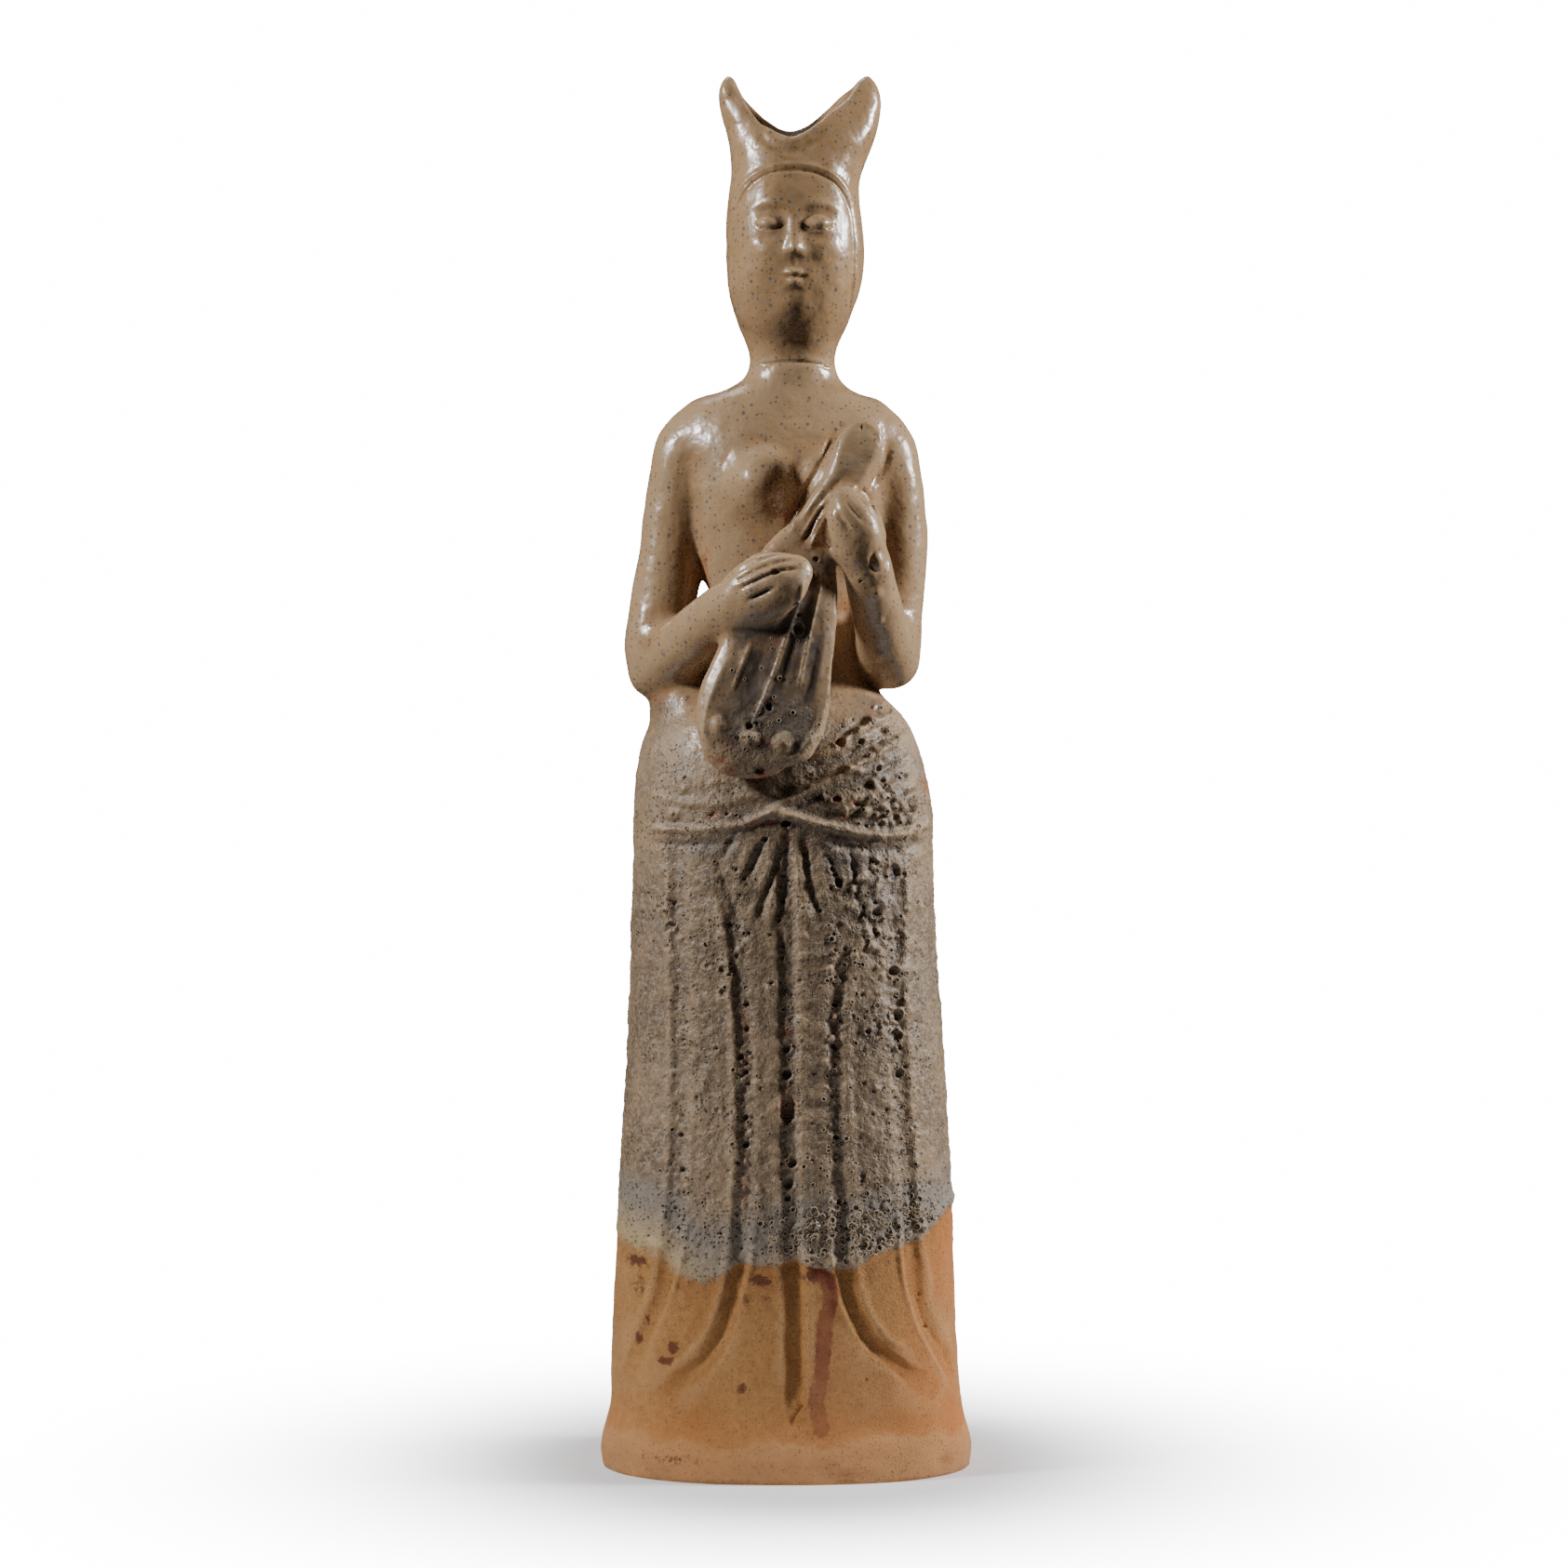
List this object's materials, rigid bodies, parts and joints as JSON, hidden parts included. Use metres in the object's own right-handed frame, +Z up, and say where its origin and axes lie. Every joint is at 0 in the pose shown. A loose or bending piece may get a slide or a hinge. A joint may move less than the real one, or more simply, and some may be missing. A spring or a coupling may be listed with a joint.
{
  "type": "tomb musician figure",
  "caption": "Standing glazed stoneware tomb figure with a horned headdress and long pleated skirt, holding a pear-shaped lute; a free-standing display piece.",
  "frame": {"origin": "on the flat underside, at the middle of the foot", "axes": "+Z up along the figure, the figure faces -Y, +X to the viewer's right from the front"},
  "size_m": [0.1347, 0.1028, 0.5006],
  "materials": {
    "glazed_clay": null
  },
  "bodies": {
    "root": {"musician_figure": "glazed_clay"}
  },
  "joints": []
}
